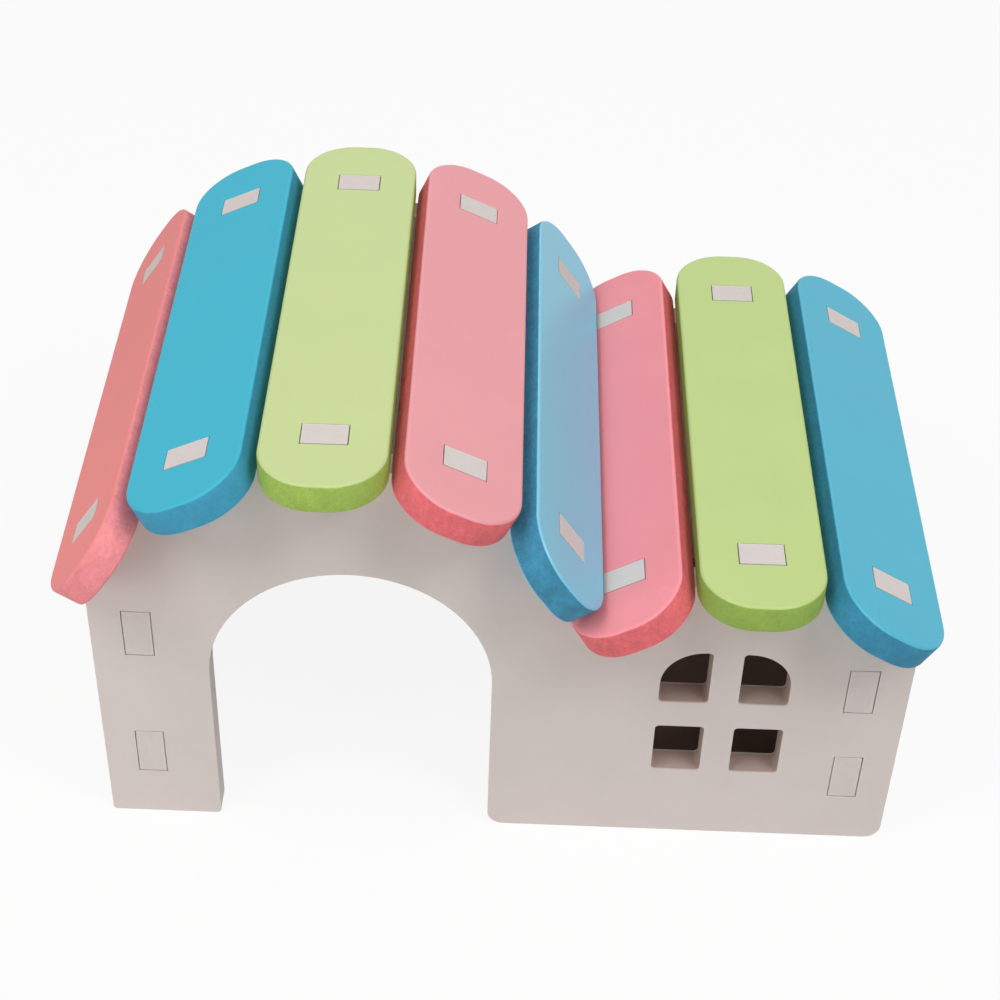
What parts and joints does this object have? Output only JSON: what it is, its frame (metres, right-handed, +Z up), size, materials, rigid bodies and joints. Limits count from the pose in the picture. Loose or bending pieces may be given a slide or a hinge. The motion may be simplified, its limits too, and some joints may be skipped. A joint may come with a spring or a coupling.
{
  "type": "hamster hideout",
  "caption": "Knock-together foam-board hideout for a small pet: white upright panels with an arched doorway and window under a two-gable roof of round-ended coloured slats.",
  "frame": {"origin": "on the ground, under the middle of the house's bounding box", "axes": "+X along the front to the right as seen from the front, +Y from the front panel to the back panel, +Z up"},
  "size_m": [0.1512, 0.103, 0.0899],
  "materials": {
    "panel_white": "matte rigid foam board, pale warm white, cut edges slightly greyer",
    "slat_pink": "matte foam board, coral pink, cut edges deeper and faintly mottled",
    "slat_blue": "matte foam board, turquoise blue, cut edges deeper and faintly mottled",
    "slat_green": "matte foam board, lime green, cut edges deeper and faintly mottled"
  },
  "bodies": {
    "root": {"front_panel": "panel_white", "back_panel": "panel_white", "left_side_panel": "panel_white", "right_side_panel": "panel_white", "roof_slat_1_pink": "slat_pink", "roof_slat_2_blue": "slat_blue", "roof_slat_3_green": "slat_green", "roof_slat_4_pink": "slat_pink", "roof_slat_5_blue": "slat_blue", "roof_slat_6_pink": "slat_pink", "roof_slat_7_green": "slat_green", "roof_slat_8_blue": "slat_blue"}
  },
  "joints": []
}
